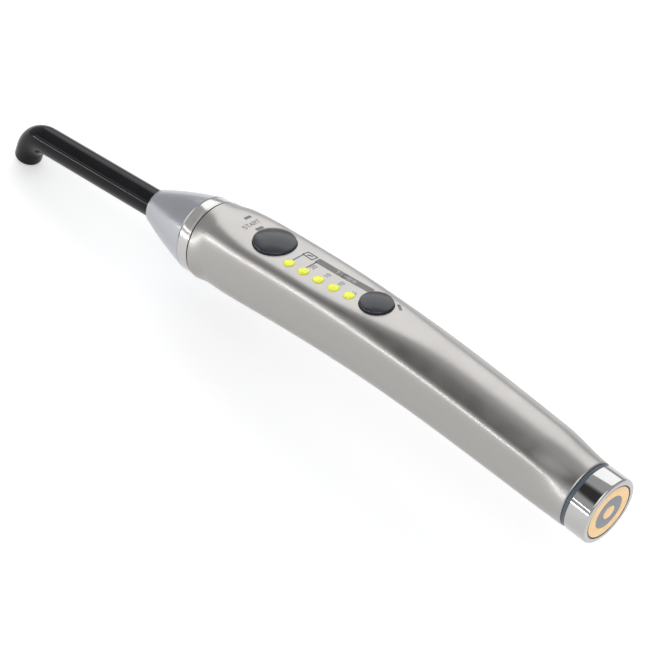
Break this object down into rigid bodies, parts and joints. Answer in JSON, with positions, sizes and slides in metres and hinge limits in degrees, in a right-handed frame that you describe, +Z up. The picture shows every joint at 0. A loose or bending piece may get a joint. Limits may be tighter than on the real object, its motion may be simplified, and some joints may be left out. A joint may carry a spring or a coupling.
{
  "type": "dental curing light",
  "caption": "Cordless curing light: a bowed steel handpiece with two keys and time indicators, a swivelling pull-off light guide with a bent tip, and a screw-in rechargeable battery.",
  "frame": {"origin": "middle of the charging face at the rear end, on the battery's axis", "axes": "+X forward along the battery's axis towards the light guide, +Y to the left of a hand holding it with the keys up, +Z up on the key side; the nose has its own axis, 8.35 mm lower and tilted 7.6 degrees down"},
  "size_m": [0.2684, 0.0276, 0.0477],
  "materials": {
    "steel_satin": "satin, brushed round the housing",
    "steel_polished": "polished",
    "magnet": "dark nickel",
    "aluminium_bare": "machined",
    "aluminium_cone": "satin anodised",
    "clear_glass": "polished",
    "fibre_glass": "fused fibre rod, polished ends",
    "black_jacket": "glossy black glass cladding",
    "key_rubber": "soft matt",
    "gasket_rubber": "matt",
    "o_ring_rubber": "matt",
    "indicator_yellow": "translucent yellow-green",
    "diode": "epoxy",
    "board_green": "glass fibre laminate",
    "black_plastic": "moulded",
    "tray_plastic": "moulded",
    "screw_steel": "zinc plated",
    "gold_contact": "gold plated",
    "collar_brass": "machined",
    "insulator_grey": "moulded",
    "sleeve_blue": "shrink sleeve",
    "cell_metal": "plain can"
  },
  "bodies": {
    "handpiece": {"housing": "steel_satin", "nose_gasket": "gasket_rubber", "nose_ring": "steel_polished", "retaining_magnet": "magnet", "nose_socket": "aluminium_bare", "protective_window": "clear_glass", "light_collector": "aluminium_bare", "led_emitter": "diode", "led_board": "aluminium_bare", "heat_sink": "aluminium_bare", "seal_membrane": "key_rubber", "indicator_lens_1": "indicator_yellow", "indicator_lens_2": "indicator_yellow", "indicator_lens_3": "indicator_yellow", "indicator_lens_4": "indicator_yellow", "indicator_lens_5": "indicator_yellow", "indicator_led_1": "diode", "indicator_led_2": "diode", "indicator_led_3": "diode", "indicator_led_4": "diode", "indicator_led_5": "diode", "control_board": "board_green", "start_switch": "black_plastic", "time_switch": "black_plastic", "microcontroller": "black_plastic", "driver_coil": "black_plastic", "sounder": "black_plastic", "board_tray": "tray_plastic", "board_screws": "screw_steel", "contact_block": "black_plastic", "battery_contact_pin": "gold_contact", "ground_strip": "gold_contact", "thread_collar": "collar_brass"},
    "start_key": {"start_button": "key_rubber"},
    "time_key": {"time_button": "key_rubber"},
    "guide_seat": {"armature_ring": "magnet"},
    "light_guide": {"guide_cone": "aluminium_cone", "guide_core": "fibre_glass", "guide_jacket": "black_jacket"},
    "battery_seal": {"cap_gasket": "gasket_rubber"},
    "battery_thread": {"cap_o_ring": "o_ring_rubber"},
    "battery_unit": {"end_cap": "steel_polished", "contact_carrier": "black_plastic", "outer_contact": "gold_contact", "contact_insulator": "insulator_grey", "centre_contact": "gold_contact", "protection_board": "board_green", "battery_sleeve": "sleeve_blue", "battery_cell": "cell_metal", "battery_terminal": "gold_contact"}
  },
  "joints": [
    {"name": "start_press", "type": "slide", "parent": "handpiece", "child": "start_key", "axis": [-0.1342, 0, -0.991], "range_m": [0, 0.0006], "stiffness_N_per_m": 2000, "springref_m": -0.0003},
    {"name": "time_press", "type": "slide", "parent": "handpiece", "child": "time_key", "axis": [-0.0641, 0, -0.9979], "range_m": [0, 0.0006], "stiffness_N_per_m": 2000, "springref_m": -0.0003},
    {"name": "guide_pull", "type": "slide", "parent": "handpiece", "child": "guide_seat", "axis": [0.9912, 0, -0.1323], "range_m": [0, 0.03]},
    {"name": "guide_swivel", "type": "hinge", "parent": "guide_seat", "child": "light_guide", "pos_m": [0.1676, 0, -0.00835], "axis": [0.9912, 0, -0.1323], "continuous": true},
    {"name": "battery_pull", "type": "slide", "parent": "handpiece", "child": "battery_seal", "axis": [-1, 0, 0], "range_m": [0, 0.08]},
    {"name": "battery_feed", "type": "slide", "parent": "battery_seal", "child": "battery_thread", "axis": [-1, 0, 0], "range_m": [0, 0.0045]},
    {"name": "battery_unscrew", "type": "hinge", "parent": "battery_thread", "child": "battery_unit", "pos_m": [0, 0, 0], "axis": [-1, 0, 0], "range_deg": [0, 1080]}
  ],
  "couplings": [
    {"joint": "battery_unscrew", "follows": "battery_feed", "rad_per_m": 4188.8}
  ]
}
